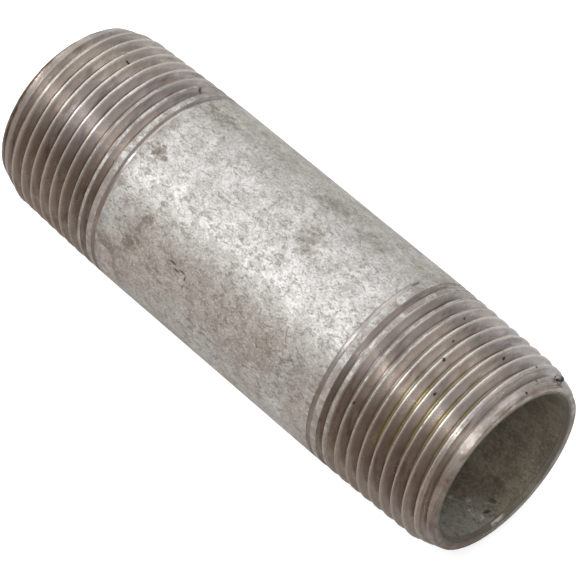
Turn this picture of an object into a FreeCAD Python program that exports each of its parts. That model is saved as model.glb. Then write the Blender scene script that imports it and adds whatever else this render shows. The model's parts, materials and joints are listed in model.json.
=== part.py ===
import FreeCAD, Part
import math
import os
import Sketcher

# Threaded pipe nipple: a short length of galvanised steel pipe with a right-hand tapered pipe
# thread cut on each end. Lengths are in millimetres. +X runs along the pipe, +Z is up as the
# pipe lies on its side, and the origin is on the axis, halfway along.
#
# It is made of three layers: the steel tube, the zinc on its outside and the zinc in its bore.
# The tube was galvanised first and threaded afterwards, so the thread grooves go through the
# outside zinc too, and only the last shallow crests still carry it.

DRIVING_SIZES = {
    "overall_length": 76.2,
    "pipe_diameter": 26.67,            # of the steel, without its zinc
    "wall": 2.87,
    "outside_zinc": 0.08,
    "bore_zinc": 0.08,
    "thread_pitch": 1.8143,            # 14 threads to the inch
    "flank_angle": 30.0,               # degrees, from square to the axis
    "truncation": 0.118,               # cut off the sharp V, at crest and at root
    "pitch_diameter_drop": 2.091,      # pipe diameter less the pitch diameter at the end face
    "cone_slope": 0.03125,             # rise of the radius along the axis: a taper of 1 in 16
    "full_thread_right": 16.2,         # length with full-depth roots, from the end face
    "full_thread_left": 15.6,
    "washout_length": 3.95,            # where the roots rise until the groove is gone
    "washout_start_right": 82.5,       # degrees round the axis, from +Y towards +Z
    "washout_start_left": 272.5,
    "lead_chamfer_length": 3.4,
    "lead_chamfer_drop": 1.037,        # from the crest cone to the rim of the end face
    "ream_leg": 0.465,                 # 45 degree chamfer round the mouth of the bore
    "zinc_edge": 0.03,                 # thinnest zinc left, where the crest cone begins
    "barrel_margin": 0.25,             # from the longer thread's last trace to the clamping barrel
}

doc = FreeCAD.newDocument("pipe_nipple")

sheet = doc.addObject("Spreadsheet::Sheet", "sizes")
for row, (alias, value) in enumerate(DRIVING_SIZES.items(), start=1):
    sheet.set(f"A{row}", alias)
    sheet.set(f"B{row}", str(value))
    sheet.setAlias(f"B{row}", alias)
doc.recompute()

# What follows from the driving sizes, as expressions of the sheet's cells.
HALF_LENGTH = "(sizes.overall_length / 2)"
PIPE_RADIUS = "(sizes.pipe_diameter / 2)"
ZINC_RADIUS = f"({PIPE_RADIUS} + sizes.outside_zinc)"
BORE_RADIUS = f"({PIPE_RADIUS} - sizes.wall)"
LINED_RADIUS = f"({BORE_RADIUS} - sizes.bore_zinc)"
MOUTH_RADIUS = f"({LINED_RADIUS} + sizes.ream_leg)"
THREAD_DEPTH = "(sizes.thread_pitch / 2 / tan(sizes.flank_angle) - 2 * sizes.truncation)"
PITCH_RADIUS = f"({PIPE_RADIUS} - sizes.pitch_diameter_drop / 2)"
CREST_RADIUS = f"({PITCH_RADIUS} + {THREAD_DEPTH} / 2)"
ROOT_RADIUS = f"({PITCH_RADIUS} - {THREAD_DEPTH} / 2)"
ROOT_WIDTH = "(2 * sizes.truncation * tan(sizes.flank_angle))"


def size(expression):
    """The number that an expression of the sheet's cells comes to."""
    return float(sheet.evalExpression(expression))


def inwards(distance):
    """The x of a place at a distance inwards from the +X end face."""
    return f"({HALF_LENGTH} - {distance})"


def crest_cone_reaches(radius):
    """How far in from the end face the cone of the thread crests has grown to a radius."""
    return f"(({radius} - {CREST_RADIUS}) / sizes.cone_slope)"


# ---- Turned bodies ----------------------------------------------------------------------

def origin_feature(body, role):
    """One of a body's own origin planes."""
    for feature in body.Origin.OriginFeatures:
        if feature.Role == role:
            return feature
    raise ValueError(role)


def draw_outline(sketch, corners):
    """Draw a closed outline through (x, radius) expressions, each corner bound to the sheet."""
    points = [FreeCAD.Vector(size(x), size(radius), 0) for x, radius in corners]
    for index, point in enumerate(points):
        following = points[(index + 1) % len(points)]
        sketch.addGeometry(Part.LineSegment(point, following), False)
    for index, (x, radius) in enumerate(corners):
        previous = (index - 1) % len(corners)
        sketch.addConstraint(Sketcher.Constraint("Coincident", previous, 2, index, 1))
        for kind, value, expression in (
            ("DistanceX", points[index].x, x),
            ("DistanceY", points[index].y, radius),
        ):
            number = sketch.addConstraint(Sketcher.Constraint(kind, -1, 1, index, 1, value))
            sketch.setExpression(f"Constraints[{number}]", expression)


def turned_body(name, end_corners):
    """A body turned about X, alike at both ends.

    Its outline runs from the inside to the outside of the +X end through end_corners, which
    are (x, radius) expressions, and back through the same corners at the -X end.
    """
    body = doc.addObject("PartDesign::Body", name)
    sketch = body.newObject("Sketcher::SketchObject", name + "_outline")
    sketch.AttachmentSupport = [(origin_feature(body, "XZ_Plane"), "")]
    sketch.MapMode = "FlatFace"
    mirrored_corners = [(f"-{x}", radius) for x, radius in reversed(end_corners)]
    draw_outline(sketch, end_corners + mirrored_corners)
    turn = body.newObject("PartDesign::Revolution", name + "_turned")
    turn.Profile = sketch
    turn.ReferenceAxis = (sketch, ["H_Axis"])
    turn.Angle = 360
    turn.Refine = False
    body.Tip = turn
    return body


# ---- Thread grooves ---------------------------------------------------------------------

# The groove has no feature of its own that cuts a long tapered thread whole, so its closed
# shape is built here from ruled faces, half a turn at a time.
SPANS_PER_TURN = 2
POINTS_PER_SPAN = 13
TURNS_BEYOND_THE_FACE = 1.0
TURNS_BEYOND_THE_WASHOUT = 0.3
FLANK_OVERLAP = 0.02                   # flanks run on past the crest cone before the walls
WALL_HEIGHT = 1.0


def groove_section():
    """The groove's outline across the thread, as (along the axis, above the root) pairs."""
    half_root = size(ROOT_WIDTH) / 2
    flank_top = size(THREAD_DEPTH) + FLANK_OVERLAP
    half_top = half_root + flank_top * math.tan(math.radians(size("sizes.flank_angle")))
    wall_top = flank_top + WALL_HEIGHT
    return [
        (-half_root, 0.0),
        (half_root, 0.0),
        (half_top, flank_top),
        (half_top, wall_top),
        (-half_top, wall_top),
        (-half_top, flank_top),
    ]


def groove_shape(end, full_length, start_angle):
    """The closed shape that cuts one end's thread; end is 1 at +X and -1 at -X.

    Turns are counted inwards from the start of the washout, where the roots leave their cone
    and rise to the surface of the zinc.
    """
    pitch = size("sizes.thread_pitch")
    slope = size("sizes.cone_slope")
    washout = size("sizes.washout_length")
    half_length = size(HALF_LENGTH)
    root_at_start = size(ROOT_RADIUS) + full_length * slope
    washout_slope = (size(ZINC_RADIUS) - root_at_start) / washout
    section = groove_section()

    def groove_point(turns, along, above):
        distance = turns * pitch
        rise = slope if distance < 0 else washout_slope
        radius = root_at_start + distance * rise + above
        angle = math.radians(start_angle) - end * 2 * math.pi * turns
        x = end * (half_length - full_length - distance) + along
        return FreeCAD.Vector(x, radius * math.cos(angle), radius * math.sin(angle))

    def edge_along(corner, first_turn, last_turn):
        step = (last_turn - first_turn) / (POINTS_PER_SPAN - 1)
        curve = Part.BSplineCurve()
        curve.interpolate(
            [groove_point(first_turn + step * index, *corner) for index in range(POINTS_PER_SPAN)]
        )
        return curve.toShape()

    def flat_end(turns):
        corners = [groove_point(turns, *corner) for corner in section]
        return Part.Face(Part.makePolygon(corners + corners[:1]))

    spans_out = math.ceil((full_length / pitch + TURNS_BEYOND_THE_FACE) * SPANS_PER_TURN)
    spans_in = math.ceil((washout / pitch + TURNS_BEYOND_THE_WASHOUT) * SPANS_PER_TURN)
    faces = [flat_end(-spans_out / SPANS_PER_TURN), flat_end(spans_in / SPANS_PER_TURN)]
    for span in range(-spans_out, spans_in):
        first_turn = span / SPANS_PER_TURN
        last_turn = (span + 1) / SPANS_PER_TURN
        edges = [edge_along(corner, first_turn, last_turn) for corner in section]
        for edge, next_edge in zip(edges, edges[1:] + edges[:1]):
            faces.append(Part.makeRuledSurface(edge, next_edge))
    shell = Part.Compound(faces)
    shell.sewShape()
    solid = Part.Solid(shell.Shells[0])
    if solid.Volume < 0:
        solid.reverse()
    return solid


def thread_groove(name, end, full_length_cell, start_angle_cell):
    """The groove of one thread, as an object that other bodies are cut with."""
    groove = doc.addObject("Part::Feature", name)
    groove.Shape = groove_shape(end, size(full_length_cell), size(start_angle_cell))
    return groove


groove_right = thread_groove(
    "groove_right", 1, "sizes.full_thread_right", "sizes.washout_start_right"
)
groove_left = thread_groove(
    "groove_left", -1, "sizes.full_thread_left", "sizes.washout_start_left"
)


def cut_threads(name, blank):
    """A blank with both threads cut into it."""
    right = doc.addObject("Part::Cut", name + "_right_cut")
    right.Base = blank
    right.Tool = groove_right
    right.Refine = False
    both = doc.addObject("Part::Cut", name)
    both.Base = right
    both.Tool = groove_left
    both.Refine = False
    return both


# ---- Steel tube -------------------------------------------------------------------------

chamfer_radius = f"({CREST_RADIUS} + sizes.lead_chamfer_length * sizes.cone_slope)"
tube_blank = turned_body("tube_blank", [
    (inwards(f"({MOUTH_RADIUS} - {BORE_RADIUS})"), BORE_RADIUS),
    (HALF_LENGTH, MOUTH_RADIUS),
    (HALF_LENGTH, f"({CREST_RADIUS} - sizes.lead_chamfer_drop)"),
    (inwards("sizes.lead_chamfer_length"), chamfer_radius),
    (inwards(crest_cone_reaches(PIPE_RADIUS)), PIPE_RADIUS),
])
steel_pipe = cut_threads("steel_pipe", tube_blank)

# ---- Zinc on the outside ----------------------------------------------------------------

# The barrel that a clip or a wrench takes hold of is plain and at full size. From there the
# die has rubbed the zinc thinner and thinner, down to a thin edge where the crest cone begins.
longer_thread = "max(sizes.full_thread_right; sizes.full_thread_left)"
barrel_end = inwards(f"({longer_thread} + sizes.washout_length + sizes.barrel_margin)")
zinc_start = inwards(crest_cone_reaches(f"({PIPE_RADIUS} + sizes.zinc_edge)"))
coat_blank = turned_body("coat_blank", [
    (zinc_start, PIPE_RADIUS),
    (zinc_start, f"({PIPE_RADIUS} + sizes.zinc_edge)"),
    (barrel_end, ZINC_RADIUS),
])
outer_zinc_coat = cut_threads("outer_zinc_coat", coat_blank)

# ---- Zinc in the bore -------------------------------------------------------------------

bore_zinc_coat = turned_body("bore_zinc_coat", [
    (inwards("sizes.ream_leg"), LINED_RADIUS),
    (inwards(f"({MOUTH_RADIUS} - {BORE_RADIUS})"), BORE_RADIUS),
])

# ---- Check and write --------------------------------------------------------------------

doc.recompute()
for item in doc.Objects:
    if "Invalid" in item.State or "Error" in item.State:
        raise RuntimeError(f"{item.Name} did not build: {item.State}")

os.makedirs("parts", exist_ok=True)
for sub_part in (steel_pipe, outer_zinc_coat, bore_zinc_coat):
    shape = sub_part.Shape
    if shape.isNull() or not shape.isValid():
        raise RuntimeError(f"{sub_part.Label} has no valid shape")
    shape.exportStep(f"parts/{sub_part.Label}.step")
    print(sub_part.Label, len(shape.Solids), "solid", round(shape.Volume, 2), "mm3")
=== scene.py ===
# %% [markdown]
# # A galvanised pipe nipple
#
# A pipe nipple is a short length of steel pipe with a tapered thread on each end. The steel is
# dipped in molten zinc first and threaded afterwards, so the barrel is dull mottled zinc, the
# threads are bare cut steel, and the last shallow crests are both. This lesson builds the tube,
# its two zinc coats and the burrs that the die left, and gives each its own material.
#
# The CAD model is the frame: it says how long and how thick everything is.

# %% Load the frame
import json
import math

import bmesh
import bpy
from mathutils import Euler, Matrix, Vector, noise


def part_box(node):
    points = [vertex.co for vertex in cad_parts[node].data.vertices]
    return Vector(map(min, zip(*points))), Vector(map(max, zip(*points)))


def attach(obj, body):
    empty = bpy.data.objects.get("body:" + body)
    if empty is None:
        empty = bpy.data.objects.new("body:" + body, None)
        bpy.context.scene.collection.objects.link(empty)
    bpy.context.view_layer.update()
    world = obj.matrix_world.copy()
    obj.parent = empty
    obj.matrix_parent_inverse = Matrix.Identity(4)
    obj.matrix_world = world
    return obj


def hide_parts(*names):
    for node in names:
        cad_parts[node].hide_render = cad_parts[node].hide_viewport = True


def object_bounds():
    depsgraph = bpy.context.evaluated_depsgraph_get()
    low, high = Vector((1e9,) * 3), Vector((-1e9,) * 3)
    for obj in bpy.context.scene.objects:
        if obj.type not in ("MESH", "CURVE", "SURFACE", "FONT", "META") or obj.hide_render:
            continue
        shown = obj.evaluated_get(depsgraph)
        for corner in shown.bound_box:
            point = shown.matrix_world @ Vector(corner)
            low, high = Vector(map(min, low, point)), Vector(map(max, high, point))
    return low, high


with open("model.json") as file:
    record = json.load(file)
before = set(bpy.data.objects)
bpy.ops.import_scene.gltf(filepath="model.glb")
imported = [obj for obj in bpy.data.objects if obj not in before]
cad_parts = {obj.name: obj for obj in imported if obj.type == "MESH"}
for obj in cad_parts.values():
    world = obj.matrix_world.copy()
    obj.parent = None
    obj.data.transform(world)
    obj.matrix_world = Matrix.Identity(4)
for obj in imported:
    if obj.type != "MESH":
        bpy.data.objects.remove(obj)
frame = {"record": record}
cad_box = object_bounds()
MM = 0.001
print("CAD box, mm:", [[round(value / MM, 2) for value in corner] for corner in cad_box])

# %% [markdown]
# ## Sizes
#
# The lengths that the CAD nodes already carry are read from their boxes. The rest describe a
# 14-to-the-inch taper thread, as the CAD model has it: its pitch, its 1 in 16 taper, its depth
# and where it starts and stops. Everything is in metres.

# %% Read and name the sizes
HALF_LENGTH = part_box("steel_pipe")[1].x
PIPE_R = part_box("steel_pipe")[1].z
ZINC_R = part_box("outer_zinc_coat")[1].z
BORE_LENGTH_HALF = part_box("bore_zinc_coat")[1].x
STEEL_BORE_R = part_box("bore_zinc_coat")[1].z
bore_mount = next(mount for mount in frame["record"]["mounts"] if mount["name"] == "bore")
LINED_R = bore_mount["dims"]["r_mm"] * MM

PITCH = 25.4 / 14 * MM
# The radius grows by half of the 1 in 16 taper.
CONE_SLOPE = 1 / 32
HALF_FLANK = math.radians(30)
CREST_AT_FACE = 12.957 * MM
ROOT_AT_FACE = 11.622 * MM
HALF_ROOT_WIDTH = 0.068 * MM
# Full-depth thread at the near end, 1, and at the far end, -1.
FULL_THREAD = {1: 16.2 * MM, -1: 15.6 * MM}
WASHOUT = 3.95 * MM
RIM_R = 11.92 * MM
MOUTH_R = 10.85 * MM
LEAD_CHAMFER = 3.4 * MM
ZINC_EDGE = 0.03 * MM
ZINC_START = (PIPE_R + ZINC_EDGE - CREST_AT_FACE) / CONE_SLOPE
BARREL_START = 20.4 * MM
# A place on the line that the middle of the groove follows: this x at this angle.
GROOVE_LINE_X = 21.9 * MM
GROOVE_LINE_ANGLE = math.radians(82.5)
for label, size in (("pipe", PIPE_R), ("zinc", ZINC_R), ("bore", LINED_R)):
    print(label, "radius, mm:", round(size / MM, 3))

# %% [markdown]
# ## The shape of a cut thread
#
# A thread is a groove that winds round the pipe, so its surface is easiest to describe by two
# radii at each distance from the end face: the surface that was there before the cut, and the
# root that the die's teeth reach. Along the first 16 mm the root lies on a cone. Then it
# rises to the surface, because the die's last teeth never reach full depth: the washout.

# %% Radii along the thread
def cut_surface_radius(distance, uncut_radius):
    """Radius of the turned surface: the lead chamfer, then the crest cone, then the pipe."""
    chamfer_top = CREST_AT_FACE + LEAD_CHAMFER * CONE_SLOPE
    chamfer = RIM_R + (chamfer_top - RIM_R) * distance / LEAD_CHAMFER
    return min(chamfer, CREST_AT_FACE + distance * CONE_SLOPE, uncut_radius(distance))


def steel_radius(distance):
    """The pipe's own steel surface, the same everywhere."""
    return PIPE_R


def zinc_radius(distance):
    """The zinc's surface: full on the barrel, rubbed thinner by the die towards the thread."""
    share = min(max((distance - ZINC_START) / (BARREL_START - ZINC_START), 0.0), 1.0)
    return PIPE_R + ZINC_EDGE + share * (ZINC_R - PIPE_R - ZINC_EDGE)


def root_radius(distance, end):
    """Radius of the groove's root at a distance from that end's face."""
    full = FULL_THREAD[end]
    if distance <= full:
        return ROOT_AT_FACE + distance * CONE_SLOPE
    root_at_full = ROOT_AT_FACE + full * CONE_SLOPE
    return root_at_full + (distance - full) * (ZINC_R - root_at_full) / WASHOUT


def groove_middle(x, angle):
    """The x of the nearest middle of the groove, on the line at this angle round the pipe."""
    line = GROOVE_LINE_X + PITCH * (angle - GROOVE_LINE_ANGLE) / math.tau
    return line + PITCH * round((x - line) / PITCH)


print("depth of the full groove, mm:", round((CREST_AT_FACE - ROOT_AT_FACE) / MM, 3))

# %% [markdown]
# ## Spinning the thread
#
# One pitch of the thread, seen from the side, is a chain of edges: half a crest, a flank, the
# root, the other flank, half a crest. `bmesh.ops.spin` with a `dvec` moves the chain along the
# axis at each step as well as round it, which is how a screw is swept. After a full turn each
# chain has moved by one pitch and meets the one before, and merging doubles joins them. The
# chain starts out straight, as a plain sheet, and a second pass moves every vertex to the
# depth and width that the groove has at that place. That way one function serves the full
# thread, the washout, the steel and the zinc.

# %% A plain sheet that follows the helix
STEPS_PER_TURN = 256
# Places across half a pitch, from the middle of the groove: root, flank, crest.
ROOT_EDGE, CREST_EDGE = 0.10, 0.80
ACROSS = [0.0, ROOT_EDGE, 0.30, 0.52, 0.72, CREST_EDGE, 0.90, 1.0]
WELD = 0.002 * MM


def helical_sheet(x_from, x_to):
    """A sheet round the axis whose edges follow the groove, from before x_from to past x_to."""
    sheet = bmesh.new()
    depth = sheet.verts.layers.float.new("groove_depth")
    sheet.verts.layers.float.new("thin_crest")
    across = sheet.verts.layers.float.new("across")
    places = [-place for place in reversed(ACROSS[1:])] + ACROSS
    start = groove_middle(x_from - PITCH, 0.0)
    chain = []
    for place in places:
        vertex = sheet.verts.new((start + place * PITCH / 2, PIPE_R, 0))
        vertex[across] = place
        vertex[depth] = 0.0
        chain.append(vertex)
    edges = [sheet.edges.new(pair) for pair in zip(chain, chain[1:])]
    bmesh.ops.spin(
        sheet, geom=chain + edges, cent=(0, 0, 0), axis=(1, 0, 0),
        dvec=(PITCH / STEPS_PER_TURN, 0, 0), angle=math.tau, steps=STEPS_PER_TURN,
        use_merge=False, use_duplicate=False,
    )
    one_turn = sheet.faces[:]
    for turn in range(1, math.ceil((x_to - start) / PITCH) + 1):
        copied = bmesh.ops.duplicate(sheet, geom=one_turn)["geom"]
        copied_vertices = [item for item in copied if isinstance(item, bmesh.types.BMVert)]
        bmesh.ops.translate(sheet, verts=copied_vertices, vec=(turn * PITCH, 0, 0))
    bmesh.ops.remove_doubles(sheet, verts=sheet.verts, dist=WELD)
    return sheet


print("faces in a turn:", 2 * (len(ACROSS) - 1) * STEPS_PER_TURN)

# %% [markdown]
# The second pass works on each vertex's own place. Where there is a groove, the places across
# the pitch are spread over the root, the flanks and the crest. Past the washout there is none,
# and they relax back to even spacing.
#
# A die tears the steel a little, more at the thin crests than anywhere else, so the crests get
# a ragged edge from a noise that is finer along the thread than across it. Two attributes go
# with the mesh for its material: how far down the groove a point is, and how thin its crest.

# %% Cutting the groove into the sheet
# The first teeth of a die are truncated, so a shallow groove has a wider, softer bottom.
WASHOUT_ROOT_WIDENING = 0.22 * MM
SHARP_GROOVE = 0.7 * MM
FAINT_GROOVE, CLEAR_GROOVE = 0.1 * MM, 0.6 * MM
# How far past the surface the root has to be for the places to be evenly spaced again.
RELAXED_PAST = 0.5 * MM
THIN_CREST, WIDE_CREST = 0.25 * MM, 0.7 * MM
# Tears to a pipe radius: coarse and fine ones outwards, and sideways ones. They are longer
# across the thread, by the last value.
COARSE_TEARS, FINE_TEARS, SIDEWAYS_TEARS, TEARS_ACROSS = 38, 85, 55, 0.35


def smooth_step(value, low, high):
    """0 below low, 1 above high and a smooth rise between."""
    share = min(max((value - low) / (high - low), 0.0), 1.0)
    return share * share * (3 - 2 * share)


def shape_across(place, depth):
    """Where across the pitch a place goes, and how far down the groove it is, from 0 to 1."""
    half_pitch = PITCH / 2
    worn = WASHOUT_ROOT_WIDENING * (1 - smooth_step(depth, 0.0, SHARP_GROOVE))
    half_top = HALF_ROOT_WIDTH + worn + max(depth, 0.0) * math.tan(HALF_FLANK)
    relaxed = smooth_step(-depth, 0.0, RELAXED_PAST)
    half_top += (CREST_EDGE * half_pitch - half_top) * relaxed
    half_root = HALF_ROOT_WIDTH + 0.5 * worn
    half_root += (ROOT_EDGE * half_pitch - half_root) * relaxed
    if place < ROOT_EDGE:
        return half_root * place / ROOT_EDGE, 1.0
    if place < CREST_EDGE:
        up = (place - ROOT_EDGE) / (CREST_EDGE - ROOT_EDGE)
        return half_root + up * (half_top - half_root), 1.0 - up
    out = (place - CREST_EDGE) / (1 - CREST_EDGE)
    return half_top + out * (half_pitch - half_top), 0.0


def cut_groove(sheet, end, uncut_radius, tearing):
    """Move each vertex of a plain sheet to the threaded surface of one end."""
    depth_layer = sheet.verts.layers.float["groove_depth"]
    across_layer = sheet.verts.layers.float["across"]
    crest_layer = sheet.verts.layers.float["thin_crest"]
    for vertex in sheet.verts:
        angle = math.atan2(vertex.co.z, vertex.co.y)
        middle = groove_middle(vertex.co.x - vertex[across_layer] * PITCH / 2, angle)
        distance = HALF_LENGTH - end * middle
        root = root_radius(distance, end)
        depth = cut_surface_radius(distance, uncut_radius) - root
        side = math.copysign(1.0, vertex[across_layer])
        shift, down = shape_across(abs(vertex[across_layer]), depth)
        x = middle + side * shift
        radius = cut_surface_radius(HALF_LENGTH - end * x, uncut_radius)
        if down > 0 and depth > 0:
            radius = min(radius, root + (1 - down) * depth)
        on_crest = 1 - smooth_step(down, 0.0, 0.35)
        on_crest *= smooth_step(depth, FAINT_GROOVE, CLEAR_GROOVE)
        around = Vector((x * TEARS_ACROSS, vertex.co.y, vertex.co.z)) / PIPE_R
        torn = noise.noise(around * COARSE_TEARS) + 0.6 * noise.noise(around * FINE_TEARS)
        radius -= tearing * on_crest * (0.5 + torn)
        sideways = noise.noise(around * SIDEWAYS_TEARS + Vector((7, 0, 0)))
        x += 0.6 * tearing * on_crest * sideways
        crest_width = PITCH - 2 * (HALF_ROOT_WIDTH + max(depth, 0.0) * math.tan(HALF_FLANK))
        vertex[crest_layer] = on_crest * (1 - smooth_step(crest_width, THIN_CREST, WIDE_CREST))
        vertex[depth_layer] = down * smooth_step(depth, 0.0, CLEAR_GROOVE)
        vertex.co = (x, radius * math.cos(angle), radius * math.sin(angle))


half_top = shape_across(CREST_EDGE, CREST_AT_FACE - ROOT_AT_FACE)[0]
print("half width of the full groove at its top, mm:", round(half_top / MM, 3))

# %% [markdown]
# ## The steel tube
#
# The tube is one closed skin. Both threaded sheets are cut square at the end faces and inside
# the washouts with `bisect_plane`. The open rings that this leaves are extruded: inwards to
# make an end face and its reamed lip, and along the axis to make the barrel and the bore.
# Bridging two rings would also work, but a bridge over a long gap can come out twisted. An
# extruded ring keeps its angles, so it lands on the ring at the other end and welds to it.

# %% Helpers for rings
SAME_PLACE = 1e-7
IN_PLANE = 1e-6
ON_A_STEP = 0.01


def distance_from_axis(point):
    """How far a point is from the pipe's axis."""
    return math.hypot(point.y, point.z)


def set_radius(vertex, radius):
    """Move a vertex straight out or in, to a radius."""
    reach = radius / distance_from_axis(vertex.co)
    vertex.co.y *= reach
    vertex.co.z *= reach


def edges_among(edges, vertices):
    """The edges that have both their ends among the vertices."""
    inside = set(vertices)
    return [edge for edge in edges if all(vertex in inside for vertex in edge.verts)]


def ring(mesh, x, radius):
    """A ring of edges round the axis, with a vertex at each step of a turn."""
    made = bmesh.ops.create_circle(
        mesh, cap_ends=False, segments=STEPS_PER_TURN, radius=radius,
        matrix=Matrix.Translation((x, 0, 0)) @ Euler((0, math.pi / 2, 0)).to_matrix().to_4x4(),
    )["verts"]
    return edges_among(mesh.edges, made)


def extrude_ring(mesh, edges):
    """Extrude a ring of edges on the spot; returns the new ring's edges and vertices."""
    made = bmesh.ops.extrude_edge_only(mesh, edges=edges)["geom"]
    vertices = [item for item in made if isinstance(item, bmesh.types.BMVert)]
    new_edges = [item for item in made if isinstance(item, bmesh.types.BMEdge)]
    return edges_among(new_edges, vertices), vertices


def draw_ring(mesh, edges, x, radius=None, steps=1):
    """Extrude a ring of edges to x, and to a radius if one is given; returns the last ring."""
    for step in range(steps):
        edges, moved = extrude_ring(mesh, edges)
        for vertex in moved:
            vertex.co.x += (x - vertex.co.x) / (steps - step)
            if radius is not None:
                set_radius(vertex, radius)
    return edges


def even_out(mesh, edges):
    """Dissolve the vertices of a ring that fall between the even steps of a turn."""
    between = []
    for vertex in {vertex for edge in edges for vertex in edge.verts}:
        steps = math.atan2(vertex.co.z, vertex.co.y) / math.tau * STEPS_PER_TURN
        if abs(steps - round(steps)) > ON_A_STEP:
            between.append(vertex)
    between.sort(key=lambda vertex: math.atan2(vertex.co.z, vertex.co.y))
    bmesh.ops.dissolve_verts(mesh, verts=between)


def roughen(vertices, depth, sizes, share_at=lambda vertex: 1.0):
    """Push vertices out and in by a noise of each given size, in pipe radii."""
    for vertex in vertices:
        around = vertex.co / PIPE_R
        push = sum(noise.noise(around / size) for size in sizes)
        set_radius(vertex, distance_from_axis(vertex.co) + depth * share_at(vertex) * push)


def cut_square(mesh, x, keep):
    """Cut the mesh square at x and keep the side that keep, 1 or -1, points to."""
    bmesh.ops.bisect_plane(
        mesh, geom=mesh.verts[:] + mesh.edges[:] + mesh.faces[:], dist=SAME_PLACE,
        plane_co=(x, 0, 0), plane_no=(-keep, 0, 0), clear_outer=True, clear_inner=False,
    )


def open_edges(mesh, x):
    """The open edges that lie in the plane at x."""
    return [
        edge for edge in mesh.edges
        if edge.is_boundary and all(abs(vertex.co.x - x) < IN_PLANE for vertex in edge.verts)
    ]


def finish_mesh(mesh, name, sharp_degrees=32):
    """Turn a bmesh into a smooth-shaded object with crisp edges, and say what it holds."""
    bmesh.ops.remove_doubles(mesh, verts=mesh.verts, dist=SAME_PLACE)
    bmesh.ops.recalc_face_normals(mesh, faces=mesh.faces)
    open_count = sum(1 for edge in mesh.edges if not edge.is_manifold)
    triangles = sum(len(face.verts) - 2 for face in mesh.faces)
    volume = mesh.calc_volume(signed=True) / MM ** 3
    print(name, "triangles", triangles, "open edges", open_count, "mm3", round(volume, 2))
    data = bpy.data.meshes.new(name)
    mesh.to_mesh(data)
    mesh.free()
    data.shade_smooth()
    data.set_sharp_from_angle(angle=math.radians(sharp_degrees))
    piece = bpy.data.objects.new(name, data)
    bpy.context.scene.collection.objects.link(piece)
    return piece


print("degrees from one step of a ring to the next:", 360 / STEPS_PER_TURN)

# %% The tube's skin
# The x where each threaded skin stops and the plain barrel starts.
BARREL_CUT = {1: HALF_LENGTH - 21.0 * MM, -1: -HALF_LENGTH + 20.4 * MM}
CREST_TEARING = 0.035 * MM


def threaded_end(end, uncut_radius, tearing):
    """The outer skin of one end, from its face to just past its washout."""
    inner_x = BARREL_CUT[end]
    outer_x = end * HALF_LENGTH
    sheet = helical_sheet(min(inner_x, outer_x), max(inner_x, outer_x))
    cut_groove(sheet, end, uncut_radius, tearing)
    cut_square(sheet, outer_x, -end)
    cut_square(sheet, inner_x, end)
    return sheet


def join_meshes(first, second):
    """Add the second mesh to the first, through a temporary mesh."""
    temporary = bpy.data.meshes.new("temporary")
    second.to_mesh(temporary)
    second.free()
    first.from_mesh(temporary)
    bpy.data.meshes.remove(temporary)


tube = threaded_end(1, steel_radius, CREST_TEARING)
join_meshes(tube, threaded_end(-1, steel_radius, CREST_TEARING))
REAM_DEPTH = MOUTH_R - STEEL_BORE_R
LIP_RAGGEDNESS = 0.05 * MM
for end in (1, -1):
    even_out(tube, open_edges(tube, BARREL_CUT[end]))
    face_x = end * HALF_LENGTH
    mouth = draw_ring(tube, open_edges(tube, face_x), face_x, MOUTH_R)
    even_out(tube, mouth)
    mouth = open_edges(tube, face_x)
    draw_ring(tube, mouth, end * (HALF_LENGTH - REAM_DEPTH), STEEL_BORE_R)
    mouth_vertices = {vertex for edge in mouth for vertex in edge.verts}
    roughen(mouth_vertices, LIP_RAGGEDNESS, sizes=(0.2, 0.06))
draw_ring(tube, open_edges(tube, BARREL_CUT[1]), BARREL_CUT[-1])
draw_ring(tube, open_edges(tube, HALF_LENGTH - REAM_DEPTH), REAM_DEPTH - HALF_LENGTH)
threaded_tube = finish_mesh(tube, "threaded_tube")
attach(threaded_tube, "root")
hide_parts("steel_pipe")

# %% [markdown]
# ## The zinc on the outside
#
# The coat is only 0.08 mm thick. It could be a colour painted on the steel, but then its edge
# along the groove would have no step to catch the light. So it is a skin of its own: the
# same helical sheet on the zinc's radius, with the faces deleted wherever the groove
# goes through to the steel, and thickness given by `solidify`. What stays at each end is
# the ribbon that winds over the last shallow crests.

# %% The outside coat
ZINC_TEARING = 0.02 * MM
CUT_THROUGH = 0.01 * MM
BARREL_RINGS = 44
BARREL_UNEVENNESS = 0.006 * MM
BARREL_FADE = 2 * MM


def share_of_barrel(vertex):
    """0 at the ends of the barrel, where it meets the threads, and 1 along it."""
    inside = min(BARREL_CUT[1] - vertex.co.x, vertex.co.x - BARREL_CUT[-1])
    return smooth_step(inside, 0.0, BARREL_FADE)


coat = bmesh.new()
for end in (1, -1):
    sheet = threaded_end(end, zinc_radius, ZINC_TEARING)
    cut_square(sheet, end * (HALF_LENGTH - ZINC_START), -end)
    cut_through = [
        face for face in sheet.faces
        if any(distance_from_axis(vertex.co) < PIPE_R - CUT_THROUGH for vertex in face.verts)
    ]
    bmesh.ops.delete(sheet, geom=cut_through, context="FACES")
    join_meshes(coat, sheet)
    even_out(coat, open_edges(coat, BARREL_CUT[end]))
draw_ring(coat, open_edges(coat, BARREL_CUT[1]), BARREL_CUT[-1], steps=BARREL_RINGS)
bmesh.ops.remove_doubles(coat, verts=coat.verts, dist=SAME_PLACE)
roughen(coat.verts, BARREL_UNEVENNESS, sizes=(0.32, 0.11), share_at=share_of_barrel)
bmesh.ops.recalc_face_normals(coat, faces=coat.faces)
outside_vertices = set(coat.verts)
bmesh.ops.solidify(coat, geom=coat.faces[:], thickness=ZINC_R - PIPE_R)
inside_vertices = [vertex for vertex in coat.verts if vertex not in outside_vertices]
least = min(distance_from_axis(vertex.co) for vertex in inside_vertices)
print("least radius of the coat's inner skin, mm:", round(least / MM, 3))
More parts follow.
